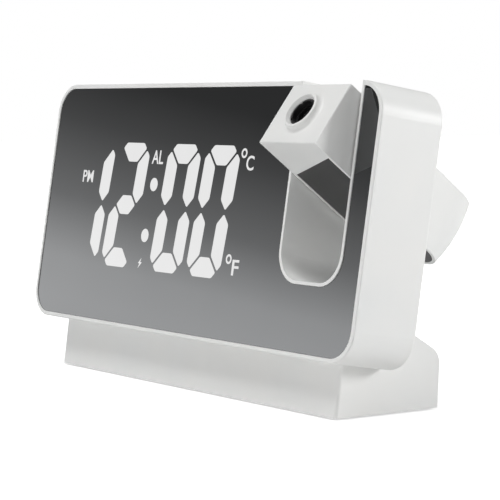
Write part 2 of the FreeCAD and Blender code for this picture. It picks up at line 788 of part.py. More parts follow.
def power_socket():
    """Small inlet for a plug lead: a drawn steel sleeve round a flat tongue, flush with the wall."""
    y1 = BASE_D / 2 + BASE_REAR_FLARE / 2 - SOCKET_WALL
    y0 = y1 - SOCKET_DEEP
    sleeve = socket_block(0, y0, y1)
    hollow = socket_block(SOCKET_WALL, y0 + 1, y1 + 1)
    tongue = box(SOCKET_X - TONGUE_W / 2, SOCKET_X + TONGUE_W / 2, y0 + 1 - EPS, y1 - 1,
                 SOCKET_Z - TONGUE_T / 2, SOCKET_Z + TONGUE_T / 2)
    return join([sleeve.cut(hollow), tongue])


def socket_board_back():
    return BASE_D / 2 - BASE_WALL - PLATE_EDGE / 2 - SOCKET_BOARD_D


def socket_board():
    y0 = socket_board_back()
    top = SOCKET_Z - SOCKET_H / 2
    half = SOCKET_BOARD_W / 2
    return box(SOCKET_X - half, SOCKET_X + half, y0, y0 + SOCKET_BOARD_D, top - BOARD_T, top)


def base_plate():
    """Bottom cover with counterbored screw holes, foot seats and a cup for the coin cell."""
    edge = PLATE_EDGE + PLATE_GAP
    plate = box(-BASE_W / 2 + edge, BASE_W / 2 - edge, -BASE_D / 2 + edge, BASE_D / 2 - edge,
                FOOT_H, FOOT_H + PLATE_T)
    up = Vector(0, 0, 1)
    roof = cell_top() + CONTACT_T
    plate = plate.fuse(rod(CELL_R + DOOR_MARGIN + CUP_WALL, CELL_X, 0, FOOT_H, up, roof + CUP_OVER - FOOT_H))
    plate = plate.cut(rod(CELL_R + CELL_GAP, CELL_X, 0, FOOT_H, up, roof - FOOT_H))
    plate = plate.cut(rod(CELL_R + DOOR_MARGIN, CELL_X, 0, 0, up, FOOT_H + DOOR_T + HEAD_SINK))
    top = FOOT_H + PLATE_T - EPS
    post_y = socket_board_back() + SOCKET_BOARD_D / 2
    for side in (-1, 1):
        plate = plate.fuse(rod(SOCKET_POST_R, SOCKET_X + side * SOCKET_POST_X, post_y, top, up,
                               SOCKET_Z - SOCKET_H / 2 - BOARD_T - top))
    for x, y in BASE_SCREWS:
        plate = plate.cut(rod(SCREW_R + SCREW_GAP, x, y, 0, up, 2 * PLATE_T))
        plate = plate.cut(rod(SCREW_HEAD_R + SCREW_GAP, x, y, 0, up, FOOT_H + SCREW_HEAD_T + HEAD_SINK))
    for x, y in foot_places():
        plate = plate.cut(rod(FOOT_R + FOOT_GAP, x, y, 0, up, FOOT_H + FOOT_SINK))
    return plate.removeSplitter()


def foot_places():
    dx = BASE_W / 2 - FOOT_INSET
    dy = BASE_D / 2 - FOOT_INSET_Y
    return [(sx * dx, sy * dy) for sx in (-1, 1) for sy in (-1, 1)]


def rubber_feet():
    feet = []
    for x, y in foot_places():
        pad = rod(FOOT_R, x, y, 0, Vector(0, 0, 1), FOOT_H + FOOT_SINK)
        low = [e for e in pad.Edges if max(v.Z for v in e.Vertexes) < EPS]
        feet.append(pad.makeChamfer(FOOT_EDGE, low))
    return Part.makeCompound(feet)


def base_screws():
    up = Vector(0, 0, 1)
    start = FOOT_H + HEAD_SINK
    return Part.makeCompound([screw(x, y, start, up, SCREW_LEN) for x, y in BASE_SCREWS])


def battery_door():
    """Round door in the bottom cover, turned by a coin in its slot."""
    low = FOOT_H + HEAD_SINK
    door = rod(CELL_R + DOOR_MARGIN - DOOR_GAP, CELL_X, 0, low, Vector(0, 0, 1), DOOR_T)
    half = COIN_SLOT_L / 2
    coin_slot = box(CELL_X - half, CELL_X + half, -COIN_SLOT_W / 2, COIN_SLOT_W / 2,
                    low - 1, low + COIN_SLOT_DEEP)
    return door.cut(coin_slot)


def cell_top():
    return FOOT_H + HEAD_SINK + DOOR_T + CELL_T


def coin_cell():
    return rod(CELL_R, CELL_X, 0, cell_top() - CELL_T, Vector(0, 0, 1), CELL_T)


def cell_contact():
    """Sprung strip between the cell and the roof of its cup."""
    half = CONTACT_L / 2
    return box(CELL_X - half, CELL_X + half, -CONTACT_W / 2, CONTACT_W / 2,
               cell_top(), cell_top() + CONTACT_T)


def base_weight():
    z = FOOT_H + PLATE_T
    return box(WEIGHT_X, WEIGHT_X + WEIGHT_W, -WEIGHT_D / 2, WEIGHT_D / 2, z, z + WEIGHT_T)


def neck_screws():
    """Screws from inside the base up into the housing's bottom wall."""
    up = Vector(0, 0, 1)
    length = BASE_WALL + WALL + NECK_BOSS_H
    low = -BASE_WALL - SCREW_HEAD_T
    return Part.makeCompound([screw(x, NECK_SCREW_W, low, up, length) for x in NECK_SCREW_XS])


# Arm

def arm_outline(inset, front, rear, top):
    """The arm's bar with its round tail; the tail is a drum about the pivot."""
    half = ARM_W / 2 - inset
    bar = box(-half, half, front, rear, -ARM_TAIL_R, top)
    tail = drum(half, ARM_TAIL_R - inset, ARM_TAIL_CORNER - inset)
    tail = tail.common(box(-half, half, front, rear, -ARM_TAIL_R, 0))
    upper = box(-half, half, front, rear, -EPS, top)
    return bar.common(tail.fuse(upper)).removeSplitter()


def arm_shell():
    """Moulded arm: closed at the front and at the lens end, open at the rear for its cover."""
    outer = arm_outline(0, ARM_FRONT, ARM_REAR, ARM_LENS_END)
    edges = [e for e in outer.Edges if e.Vertexes[0].Z > ARM_LENS_END - EPS
             and e.Vertexes[-1].Z > ARM_LENS_END - EPS]
    outer = outer.makeFillet(ARM_EDGE, edges)
    room = arm_outline(ARM_WALL, ARM_FRONT + ARM_WALL + WINDOW_T, ARM_REAR - ARM_BACK_T,
                       ARM_LENS_END - ARM_WALL)
    lid_seat = arm_outline(ARM_WALL / 2, ARM_REAR - ARM_BACK_T, ARM_REAR + 1, ARM_LENS_END - ARM_WALL)
    shell = outer.cut(room).cut(lid_seat).cut(window_block(0))
    shell = shell.fuse([lens_collar(), lens_tube()] + pin_sockets())
    up = Vector(0, 0, 1)
    shell = shell.cut(rod(BARREL_R + BARREL_CLEAR, 0, lens_y(), OPTICS_TOP - 1, up, ARM_LENS_END))
    mouth = turned([(0, BARREL_TOP), (BARREL_R + BARREL_CLEAR, BARREL_TOP),
                    (COLLAR_MOUTH_R, COLLAR_H), (COLLAR_MOUTH_R, COLLAR_H + 1), (0, COLLAR_H + 1)])
    shell = shell.cut(moved(mouth, 0, lens_y(), ARM_LENS_END))
    reach = ARM_W / 2
    shell = shell.cut(rod(PIN_R, -reach - 1, 0, 0, Vector(1, 0, 0), PIN_GRIP + 1))
    shell = shell.cut(rod(PIN_R, reach + 1, 0, 0, Vector(-1, 0, 0), PIN_GRIP + 1))
    return shell.removeSplitter()


def lens_y():
    return (ARM_FRONT + ARM_REAR) / 2


def lens_collar():
    """Raised ring that grows out of the end face in a soft flare, round over its top."""
    foot = COLLAR_R + COLLAR_FLARE
    bend = 1 - math.sqrt(0.5)
    lip = COLLAR_ROUND * bend
    points = [Vector(0, 0, -COLLAR_ROOT), Vector(foot, 0, -COLLAR_ROOT), Vector(foot, 0, 0),
              Vector(COLLAR_R + COLLAR_FLARE * bend, 0, (COLLAR_H - COLLAR_ROUND) * bend),
              Vector(COLLAR_R, 0, COLLAR_H - COLLAR_ROUND),
              Vector(COLLAR_R - lip, 0, COLLAR_H - lip),
              Vector(COLLAR_R - COLLAR_ROUND, 0, COLLAR_H), Vector(0, 0, COLLAR_H)]
    edges = [Part.makeLine(points[0], points[1]), Part.makeLine(points[1], points[2]),
             Part.Arc(*points[2:5]).toShape(), Part.Arc(*points[4:7]).toShape(),
             Part.makeLine(points[6], points[7]), Part.makeLine(points[7], points[0])]
    solid = Part.Face(Part.Wire(edges)).revolve(Vector(0, 0, 0), Vector(0, 0, 1), 360)
    return moved(solid, 0, lens_y(), ARM_LENS_END)


def lens_tube():
    return rod(BARREL_R + BARREL_CLEAR + BARREL_TUBE_WALL, 0, lens_y(), OPTICS_TOP,
               Vector(0, 0, 1), BARREL_TUBE_LEN + ARM_WALL / 2)


def pin_sockets():
    """Round bosses inside the side walls that grip the pivot pins."""
    bosses = []
    for side in (-1, 1):
        start = side * (ARM_W / 2 - ARM_WALL / 2)
        length = PIN_GRIP - ARM_WALL / 2 + SOCKET_END
        bosses.append(rod(PIN_R + SOCKET_GRIP_WALL, start, 0, 0, Vector(-side, 0, 0), length))
    return bosses


def window_block(gap):
    """Smoked window let into the front face: slanted along its top, round at the tail."""
    half = ARM_W / 2 - WINDOW_RIM - gap
    front = ARM_FRONT - 1
    back = ARM_FRONT + WINDOW_INSET + WINDOW_T
    if gap > 0:
        front = ARM_FRONT + WINDOW_INSET
    outline = [(-half, WINDOW_LOW - gap), (half, WINDOW_HIGH - gap), (half, -ARM_TAIL_R),
               (-half, -ARM_TAIL_R)]
    block = prism(outline, front, back)
    face_r = math.sqrt(ARM_TAIL_R ** 2 - ARM_FRONT ** 2)
    low = -(face_r - WINDOW_RIM - gap)
    corner = ARM_TAIL_CORNER - WINDOW_RIM - gap
    return block.common(channel(half, low, WINDOW_HIGH + 1, corner, front, back))


def arm_window():
    return window_block(FIT_GAP)


def arm_cover():
    """Rear lid of the arm, let into the shell, with thumb ribs near the tail."""
    lid = arm_outline(ARM_WALL / 2 + FIT_GAP, ARM_REAR - ARM_BACK_T, ARM_REAR - FIT_GAP,
                      ARM_LENS_END - ARM_WALL - FIT_GAP)
    grooves = []
    for index in range(RIB_COUNT):
        z = RIB_LOW + RIB_PITCH * index
        grooves.append(slab(-RIB_L / 2, RIB_L / 2, z - RIB_W / 2, z + RIB_W / 2, RIB_W / 2 - EPS,
                            ARM_REAR - RIB_DEEP, ARM_REAR + 1))
    return lid.cut(Part.makeCompound(grooves))


def focus_ring():
    """Black lens barrel, turned to focus: notched at its mouth, and bored for the lens."""
    low = BARREL_TOP - BARREL_LEN
    lens_low = BARREL_TOP - LENS_SET - LENS_T
    bore = BARREL_BORE_R
    seat = BARREL_BORE_R - LENS_SEAT
    body = turned([(seat, low), (BARREL_R, low), (BARREL_R, BARREL_TOP - BARREL_EDGE),
                   (BARREL_R - BARREL_EDGE, BARREL_TOP), (bore, BARREL_TOP), (bore, lens_low),
                   (seat, lens_low)])
    body = moved(body, 0, lens_y(), ARM_LENS_END)
    notches = []
    for index in range(NOTCH_COUNT):
        notch = box(BARREL_BORE_R - NOTCH_IN, BARREL_R + 1, -NOTCH_W / 2, NOTCH_W / 2,
                    BARREL_TOP - NOTCH_DEEP, BARREL_TOP + 1)
        notch.rotate(Vector(0, 0, 0), Vector(0, 0, 1), 360 * (index + 0.5) / NOTCH_COUNT)
        notches.append(moved(notch, 0, lens_y(), ARM_LENS_END))
    return body.cut(Part.makeCompound(notches))


def lens_shape(radius, edge, crown):
    """Plano-convex glass: flat below, a sphere's cap above."""
    ball_r = (radius ** 2 + crown ** 2) / (2 * crown)
    a = Vector(0, 0, 0)
    b = Vector(radius, 0, 0)
    c = Vector(radius, 0, edge)
    half = math.asin(radius / ball_r) / 2
    top = edge + crown
    mid = Vector(ball_r * math.sin(half), 0, top - ball_r + ball_r * math.cos(half))
    d = Vector(0, 0, top)
    edges = [Part.makeLine(a, b), Part.makeLine(b, c), Part.Arc(c, mid, d).toShape(), Part.makeLine(d, a)]
    return Part.Face(Part.Wire(edges)).revolve(Vector(0, 0, 0), Vector(0, 0, 1), 360)


def projection_lens():
    low = ARM_LENS_END + BARREL_TOP - LENS_SET - LENS_T
    return moved(lens_shape(BARREL_BORE_R - FIT_GAP, LENS_T - LENS_CROWN, LENS_CROWN), 0, lens_y(), low)


def lens_clip_ring():
    """Thin ring that holds the lens down in the barrel, resting on the lens's curved face."""
    radius = BARREL_BORE_R - FIT_GAP
    ball_r = (radius ** 2 + LENS_CROWN ** 2) / (2 * LENS_CROWN)
    inner = radius - RING_W
    rise = math.sqrt(ball_r ** 2 - inner ** 2) - math.sqrt(ball_r ** 2 - radius ** 2)
    low = ARM_LENS_END + BARREL_TOP - LENS_SET - LENS_CROWN + rise + EPS
    outer = rod(radius, 0, lens_y(), low, Vector(0, 0, 1), RING_T)
    return outer.cut(rod(inner, 0, lens_y(), low - 1, Vector(0, 0, 1), RING_T + 2))


def optics_holder():
    """Tube that carries the slide, the condenser and the lamp under the lens barrel."""
    up = Vector(0, 0, 1)
    low = OPTICS_TOP - OPTICS_LEN
    seat_top = OPTICS_TOP - HOLDER_LIP - SLIDE_T
    outer = rod(OPTICS_R, 0, lens_y(), low, up, OPTICS_LEN)
    bore = rod(OPTICS_R - OPTICS_WALL - HOLDER_LIP, 0, lens_y(), low - 1, up, OPTICS_LEN + 2)
    seat = rod(OPTICS_R - OPTICS_WALL, 0, lens_y(), low - 1, up, seat_top - low + 1)
    half = SLIDE_SIDE / 2 + SLIDE_GAP
    pocket = box(-half, half, lens_y() - half, lens_y() + half, seat_top - EPS, seat_top + SLIDE_T)
    return outer.cut(bore).cut(seat).cut(pocket)


def picture_slide():
    half = SLIDE_SIDE / 2
    top = OPTICS_TOP - HOLDER_LIP - EPS
    return box(-half, half, lens_y() - half, lens_y() + half, top - SLIDE_T + EPS, top)


def condenser_lens():
    """Plano-convex glass under the slide, its crown towards the slide."""
    low = OPTICS_TOP - HOLDER_LIP - SLIDE_T - CONDENSER_T
    edge = CONDENSER_T - CONDENSER_CROWN - FIT_GAP
    return moved(lens_shape(OPTICS_R - OPTICS_WALL - FIT_GAP, edge, CONDENSER_CROWN), 0, lens_y(), low)


def lamp_board():
    low = OPTICS_TOP - OPTICS_LEN - LAMP_BOARD_T
    half = LAMP_BOARD_W / 2
    rise = LAMP_BOARD_H / 2
    return box(-half, half, lens_y() - rise, lens_y() + rise, low, low + LAMP_BOARD_T)


def projector_lamp():
    low = OPTICS_TOP - OPTICS_LEN
    half = LAMP_SIDE / 2
    foot = box(-half, half, lens_y() - half, lens_y() + half, low, low + LAMP_FOOT)
    dome = moved(lens_shape(LAMP_DOME_R, 2 * EPS, LAMP_DOME_H), 0, lens_y(), low + LAMP_FOOT - EPS)
    return foot.fuse(dome).removeSplitter()


def pivot_pin(side, bore):
    """Stub shaft gripped by the arm, which turns in the trough's wall."""
    start = ARM_W / 2 - PIN_GRIP
    end = TROUGH_OUT - TROUGH_WALL + PIN_OUT + CLIP_GAP + CLIP_T + PIN_END
    pin = rod(PIN_R, side * start, 0, 0, Vector(side, 0, 0), end - start)
    if bore > 0:
        pin = pin.cut(rod(bore, side * (start - 1), 0, 0, Vector(side, 0, 0), end - start + 2))
    return pin


def pivot_washer(side):
    disc = rod(WASHER_R, side * ARM_W / 2, 0, 0, Vector(side, 0, 0), WASHER_T)
    return disc.cut(rod(PIN_R, side * (ARM_W / 2 - 1), 0, 0, Vector(side, 0, 0), WASHER_T + 2))


def pivot_clip(side):
    start = TROUGH_OUT - TROUGH_WALL + PIN_OUT + CLIP_GAP
    ring = rod(CLIP_R, side * start, 0, 0, Vector(side, 0, 0), CLIP_T)
    return ring.cut(rod(PIN_R, side * (start - 1), 0, 0, Vector(side, 0, 0), CLIP_T + 2))


def main():
    save_housing("front_frame", front_frame())
    save_housing("mirror_panel", mirror_panel())
    save_housing("arm_trough", arm_trough())
    save_housing("rear_cover", rear_cover())
    save_housing("rear_screws", rear_screws())
    save_housing("display_reflector", display_reflector())
    save_housing("display_board", display_board())
    save_housing("segment_lamps", segment_lamps())
    names = ["key_time", "key_alarm", "key_up", "key_down", "key_projector"]
    for index, name in enumerate(names):
        save_housing(name, key_cap(index))
    save_housing("key_switches", key_switches())
    save_housing("key_board", key_board())
    save_housing("snooze_key", snooze_key())
    save_housing("snooze_switch", snooze_switch())
    save_housing("buzzer", buzzer())

    save("base_shell", base_shell())
    save("base_plate", base_plate())
    save("base_screws", base_screws())
    save("rubber_feet", rubber_feet())
    save("base_weight", base_weight())
    save_housing("neck_screws", neck_screws())
    save("power_socket", power_socket())
    save("socket_board", socket_board())
    save("battery_door", battery_door())
    save("coin_cell", coin_cell())
    save("cell_contact", cell_contact())

    save_arm("arm_shell", arm_shell())
    save_arm("arm_cover", arm_cover())
    save_arm("arm_window", arm_window())
    save_arm("focus_ring", focus_ring())
    save_arm("projection_lens", projection_lens())
    save_arm("lens_clip_ring", lens_clip_ring())
    save_arm("optics_holder", optics_holder())
    save_arm("picture_slide", picture_slide())
    save_arm("condenser_lens", condenser_lens())
    save_arm("lamp_board", lamp_board())
    save_arm("projector_lamp", projector_lamp())
    save_arm("pivot_pin_left", pivot_pin(-1, PIN_BORE_R))
    save_arm("pivot_pin_right", pivot_pin(1, 0))
    save_arm("pivot_washer_left", pivot_washer(-1))
    save_arm("pivot_washer_right", pivot_washer(1))
    save_arm("pivot_clip_left", pivot_clip(-1))
    save_arm("pivot_clip_right", pivot_clip(1))


main()
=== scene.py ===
import bpy
import bmesh
import json
import math
from mathutils import Matrix, Vector


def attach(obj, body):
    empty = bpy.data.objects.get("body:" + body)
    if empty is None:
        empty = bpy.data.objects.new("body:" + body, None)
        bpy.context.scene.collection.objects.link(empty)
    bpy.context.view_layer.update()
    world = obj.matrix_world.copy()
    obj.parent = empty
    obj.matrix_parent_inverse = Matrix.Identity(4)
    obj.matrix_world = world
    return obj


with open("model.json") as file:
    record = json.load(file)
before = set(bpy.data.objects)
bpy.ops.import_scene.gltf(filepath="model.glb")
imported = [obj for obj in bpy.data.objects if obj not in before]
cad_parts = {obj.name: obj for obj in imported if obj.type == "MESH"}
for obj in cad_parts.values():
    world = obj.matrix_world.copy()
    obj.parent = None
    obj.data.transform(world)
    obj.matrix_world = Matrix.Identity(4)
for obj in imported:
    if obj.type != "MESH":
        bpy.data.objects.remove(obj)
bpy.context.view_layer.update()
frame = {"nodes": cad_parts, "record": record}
NODES = frame["nodes"]
scene = bpy.context.scene

MM = 0.001

# The housing's own frame: x to the right of its middle, y to the rear of its front face and z up
# from its lower edge. It leans back on the base. The model's origin is under the middle of the
# whole depth, which lies DEPTH_MIDDLE behind the base's own middle.
LEAN = math.radians(9.0)
DEPTH_MIDDLE = 3.1219 * MM
HOUSING_FRONT = -25.2 * MM - DEPTH_MIDDLE
HOUSING_LOW = 18.1 * MM
HOUSING = Matrix.Translation((0.0, HOUSING_FRONT, HOUSING_LOW)) @ Matrix.Rotation(-LEAN, 4, "X")
MIRROR_FACE = 0.3 * MM


# Nodes and colours

def linear(code):
    """One sRGB hex colour as linear red, green, blue and alpha."""
    parts = [int(code[i:i + 2], 16) / 255 for i in (0, 2, 4)]
    return [p / 12.92 if p <= 0.04045 else ((p + 0.055) / 1.055) ** 2.4 for p in parts] + [1.0]


def add(tree, kind, inputs=None, links=None, stops=(), **settings):
    """Adds one node, gives it its settings, input values and colour stops, and links its inputs to
    outputs."""
    made = tree.nodes.new(kind)
    for name, value in settings.items():
        setattr(made, name, value)
    for name, value in (inputs or {}).items():
        made.inputs[name].default_value = value
    while stops and len(made.color_ramp.elements) < len(stops):
        made.color_ramp.elements.new(0.5)
    for number, (position, colour) in enumerate(stops):
        made.color_ramp.elements[number].position = position
        made.color_ramp.elements[number].color = colour
    for name, (source, output) in (links or {}).items():
        tree.links.new(source.outputs[output], made.inputs[name])
    return made


def new_material(name):
    material = bpy.data.materials.new(name)
    material.use_nodes = True
    material.node_tree.nodes.clear()
    return material, material.node_tree


def moulded_plastic(name, light, dark, roughness, grain_mm, depth_mm, patch_mm=28.0):
    """Moulded plastic: a spark-eroded tool leaves an even grain, and the gloss drifts a little
    where the melt cooled at a different rate. The real grain of about 0.1 mm is too fine to show,
    so it is drawn at 0.2 to 0.4 mm."""
    material, tree = new_material(name)
    place = add(tree, "ShaderNodeTexCoord")
    patches = add(tree, "ShaderNodeTexNoise", {"Scale": 1 / (patch_mm * MM), "Detail": 2.0},
                  {"Vector": (place, "Object")})
    tone = add(tree, "ShaderNodeValToRGB", links={"Fac": (patches, "Fac")},
               stops=[(0.3, linear(dark)), (0.7, linear(light))])
    drift = 0.05
    gloss = add(tree, "ShaderNodeMapRange",
                {"From Min": 0.3, "From Max": 0.7,
                 "To Min": roughness - drift, "To Max": roughness + drift},
                {"Value": (patches, "Fac")})
    grain = add(tree, "ShaderNodeTexNoise", {"Scale": 1 / (grain_mm * MM), "Detail": 3.0},
                {"Vector": (place, "Object")})
    relief = add(tree, "ShaderNodeBump", {"Strength": 0.6, "Distance": depth_mm * MM},
                 {"Height": (grain, "Fac")})
    shader = add(tree, "ShaderNodeBsdfPrincipled", {"IOR": 1.52},
                 {"Base Color": (tone, "Color"), "Roughness": (gloss, "Result"),
                  "Normal": (relief, "Normal")})
    add(tree, "ShaderNodeOutputMaterial", links={"Surface": (shader, 0)})
    return material


def half_silvered_acrylic():
    """Clear acrylic with a thin metal film behind it: a grey mirror that light shines through. A
    cast sheet has a very slight swell, and fingers leave a faint change of gloss."""
    material, tree = new_material("half_silvered_acrylic")
    place = add(tree, "ShaderNodeTexCoord")
    swell = add(tree, "ShaderNodeTexNoise", {"Scale": 1 / (45 * MM), "Detail": 1.0},
                {"Vector": (place, "Object")})
    tone = add(tree, "ShaderNodeValToRGB", links={"Fac": (swell, "Fac")},
               stops=[(0.0, linear("68696A")), (1.0, linear("6C6D6E"))])
    smear = add(tree, "ShaderNodeTexNoise", {"Scale": 1 / (14 * MM), "Detail": 4.0},
                {"Vector": (place, "Object")})
    gloss = add(tree, "ShaderNodeMapRange",
                {"From Min": 0.3, "From Max": 0.7, "To Min": 0.02, "To Max": 0.05},
                {"Value": (smear, "Fac")})
    shader = add(tree, "ShaderNodeBsdfPrincipled", {"Metallic": 1.0},
                 {"Base Color": (tone, "Color"), "Roughness": (gloss, "Result")})
    add(tree, "ShaderNodeOutputMaterial", links={"Surface": (shader, 0)})
    return material


def smoked_acrylic():
    """Acrylic dyed nearly black and polished: a dark window with a sharp gloss, a little cloudy
    where the dye gathers."""
    material, tree = new_material("smoked_acrylic")
    place = add(tree, "ShaderNodeTexCoord")
    dye = add(tree, "ShaderNodeTexNoise", {"Scale": 1 / (9 * MM), "Detail": 2.0},
              {"Vector": (place, "Object")})
    tone = add(tree, "ShaderNodeValToRGB", links={"Fac": (dye, "Fac")},
               stops=[(0.0, linear("1C1C1D")), (1.0, linear("232324"))])
    shader = add(tree, "ShaderNodeBsdfPrincipled", {"IOR": 1.49, "Roughness": 0.12},
                 {"Base Color": (tone, "Color")})
    add(tree, "ShaderNodeOutputMaterial", links={"Surface": (shader, 0)})
    return material


def lit_white_diffuser():
    """A white diffuser lit from behind: even light, a little weaker between its chips."""
    material, tree = new_material("lit_white_diffuser")
    place = add(tree, "ShaderNodeTexCoord")
    cloud = add(tree, "ShaderNodeTexNoise", {"Scale": 1 / (6 * MM), "Detail": 0.0},
                {"Vector": (place, "Object")})
    tone = add(tree, "ShaderNodeValToRGB", links={"Fac": (cloud, "Fac")},
               stops=[(0.0, linear("DEDEDE")), (1.0, linear("E1E1E1"))])
    shader = add(tree, "ShaderNodeBsdfPrincipled",
                 {"Base Color": linear("101010"), "Roughness": 0.3, "Emission Strength": 1.0},
                 {"Emission Color": (tone, "Color")})
    add(tree, "ShaderNodeOutputMaterial", links={"Surface": (shader, 0)})
    return material


def solder_mask_board():
    """Glass-epoxy board under green solder mask: copper tracks at 1.27 mm show as paler lines."""
    material, tree = new_material("solder_mask_board")
    place = add(tree, "ShaderNodeTexCoord")
    tracks = add(tree, "ShaderNodeTexBrick",
                 {"Scale": 1 / (12.7 * MM), "Color1": linear("1B5A34"), "Color2": linear("206339"),
                  "Mortar": linear("2F7A4A"), "Mortar Size": 0.012, "Brick Width": 0.8,
                  "Row Height": 0.1},
                 {"Vector": (place, "Object")})
    shader = add(tree, "ShaderNodeBsdfPrincipled", {"IOR": 1.5, "Roughness": 0.35},
                 {"Base Color": (tracks, "Color")})
    add(tree, "ShaderNodeOutputMaterial", links={"Surface": (shader, 0)})
    return material


def zinc_plated_steel():
    """Pressed steel with bright zinc: grey metal with a fine grain, drawn at 0.8 mm so that it
    shows."""
    material, tree = new_material("zinc_plated_steel")
    place = add(tree, "ShaderNodeTexCoord")
    grain = add(tree, "ShaderNodeTexNoise", {"Scale": 1 / (0.8 * MM), "Detail": 4.0},
                {"Vector": (place, "Object")})
    tone = add(tree, "ShaderNodeValToRGB", links={"Fac": (grain, "Fac")},
               stops=[(0.0, linear("A9ABAE")), (1.0, linear("C4C6C9"))])
    gloss = add(tree, "ShaderNodeMapRange", {"To Min": 0.25, "To Max": 0.45},
                {"Value": (grain, "Fac")})
    shader = add(tree, "ShaderNodeBsdfPrincipled", {"Metallic": 1.0},
                 {"Base Color": (tone, "Color"), "Roughness": (gloss, "Result")})
    add(tree, "ShaderNodeOutputMaterial", links={"Surface": (shader, 0)})
    return material


def optical_glass():
    """Polished crown glass with a faint cool tint from its coating."""
    material, tree = new_material("optical_glass")
    place = add(tree, "ShaderNodeTexCoord")
    film = add(tree, "ShaderNodeTexNoise", {"Scale": 1 / (3 * MM), "Detail": 1.0},
               {"Vector": (place, "Object")})
    tone = add(tree, "ShaderNodeValToRGB", links={"Fac": (film, "Fac")},
               stops=[(0.0, linear("DDE4EA")), (1.0, linear("EEF2F6"))])
    shader = add(tree, "ShaderNodeBsdfPrincipled",
                 {"IOR": 1.52, "Roughness": 0.02, "Transmission Weight": 1.0},
                 {"Base Color": (tone, "Color")})
    add(tree, "ShaderNodeOutputMaterial", links={"Surface": (shader, 0)})
    return material


# Name, light and dark colour, roughness, then the grain's width and depth and the patches in
# millimetres: satin ABS, matt ABS, turned acetal with a low gloss, lamp epoxy yellow with phosphor,
# and rubber, the roughest of all
WHITE_ABS = moulded_plastic("satin_white_abs", "EFEFED", "EBECEB", 0.42, 0.35, 0.006)
KEY_ABS = moulded_plastic("satin_key_abs", "E2E3E2", "DCDDDC", 0.5, 0.3, 0.006, 12.0)
BLACK_ABS = moulded_plastic("satin_black_abs", "232324", "1C1C1D", 0.38, 0.3, 0.008, 9.0)
REFLECTOR_ABS = moulded_plastic("matt_white_light_block", "F2F2F0", "EDEDEB", 0.75, 0.4, 0.01, 20.0)
ACETAL = moulded_plastic("turned_acetal", "E9E9E4", "E1E1DC", 0.3, 0.2, 0.004, 5.0)
LAMP_EPOXY = moulded_plastic("phosphor_epoxy", "F1E7B4", "E8DA98", 0.35, 0.4, 0.004, 1.5)
FOOT_RUBBER = moulded_plastic("moulded_rubber", "29292A", "202021", 0.85, 0.25, 0.02, 6.0)
MIRROR = half_silvered_acrylic()
SMOKED = smoked_acrylic()
BOARD = solder_mask_board()
STEEL = zinc_plated_steel()
GLASS = optical_glass()

FINISHES = {
    "white_abs": WHITE_ABS, "mirror_acrylic": MIRROR, "smoked_acrylic": SMOKED,
    "key_plastic": KEY_ABS, "black_plastic": BLACK_ABS, "reflector_white": REFLECTOR_ABS,
    "circuit_board": BOARD, "lamp_chip": LAMP_EPOXY, "zinc_steel": STEEL, "acetal": ACETAL,
    "clear_glass": GLASS, "foot_rubber": FOOT_RUBBER,
}


def finish(obj, material):
    obj.data.materials.clear()
    obj.data.materials.append(material)


for part in frame["record"]["subparts"]:
    finish(NODES[part["node"]], FINISHES[part["material_slot"]])


# Thin pieces on the housing's faces, drawn flat in the housing's frame and then given a thickness

SKIN_FRONT = 0.04 * MM
SKIN_BACK = 0.02 * MM


def thicken(bm, way=-1):
    """Draws flat faces out to the skin's outer side, forward or to the rear, with closed sides."""
    bmesh.ops.recalc_face_normals(bm, faces=bm.faces)
    grown = bmesh.ops.extrude_face_region(bm, geom=list(bm.faces), use_keep_orig=True)
    moved = [v for v in grown["geom"] if isinstance(v, bmesh.types.BMVert)]
    bmesh.ops.translate(bm, verts=moved, vec=(0, way * (SKIN_FRONT + SKIN_BACK), 0))
    bmesh.ops.recalc_face_normals(bm, faces=bm.faces)


def piece(name, bm, material, body):
    """Makes a finished object, with its place in its mesh, and lets it ride on a body."""
    mesh = bpy.data.meshes.new(name)
    bm.to_mesh(mesh)
    bm.free()
    mesh.transform(HOUSING)
    obj = bpy.data.objects.new(name, mesh)
    scene.collection.objects.link(obj)
    finish(obj, material)
    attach(obj, body)


# Lit display: digits, colon and signs on the mirror's face, in millimetres in the housing's frame

DIGIT_H = 43.5
DIGIT_W = 19.9
STROKE = 6.6
CORNER_CUT = 1.9
SEGMENT_GAP = 0.65
SEGMENT_ROUND = 0.6
SLANT = math.tan(math.radians(5.0))
DIGIT_V = 42.5
DIGIT_PITCH = 22.6
HOURS_X = -62.9
MINUTES_X = -8.8
COLON_R = 2.3
COLON_RISE = 8.8
COLON_DROP = 1.2


def slanted(points, x0):
    return [(x0 + x + z * SLANT, DIGIT_V + z) for x, z in points]


def segment_outlines():
    """The seven segments of one digit, as outlines about the digit's middle, by their names. They
    meet on mitred ends, and the digit's four outer corners are cut off."""
    side = DIGIT_W / 2
    edge = DIGIT_H / 2
    half = STROKE / 2
    gap = SEGMENT_GAP
    cut = CORNER_CUT
    flat = [(side - 2 * cut - gap, edge), (side - cut - gap, edge - cut),
            (side - STROKE - gap, edge - STROKE)]
    flat += [(-x, z) for x, z in reversed(flat)]
    tall = [(side, edge - 2 * cut - gap), (side, gap + half), (side - half, gap),
            (side - STROKE, gap + half), (side - STROKE, edge - STROKE - gap),
            (side - cut, edge - cut - gap)]
    tip = side - half - gap
    middle = [(tip, 0), (tip - half, half), (half - tip, half),
              (-tip, 0), (half - tip, -half), (tip - half, -half)]
    places = {"middle": middle}
    for level, word in ((1, "upper"), (-1, "lower")):
        places[word] = [(x, level * z) for x, z in flat]
        for turn, letter in ((1, "right"), (-1, "left")):
            places[word + "_" + letter] = [(turn * x, level * z) for x, z in tall]
    return places


DIGITS = {
    "1": ["upper_right", "lower_right"],
    "2": ["upper", "upper_right", "middle", "lower_left", "lower"],
    "0": ["upper", "upper_left", "upper_right", "lower_left", "lower_right", "lower"],
}

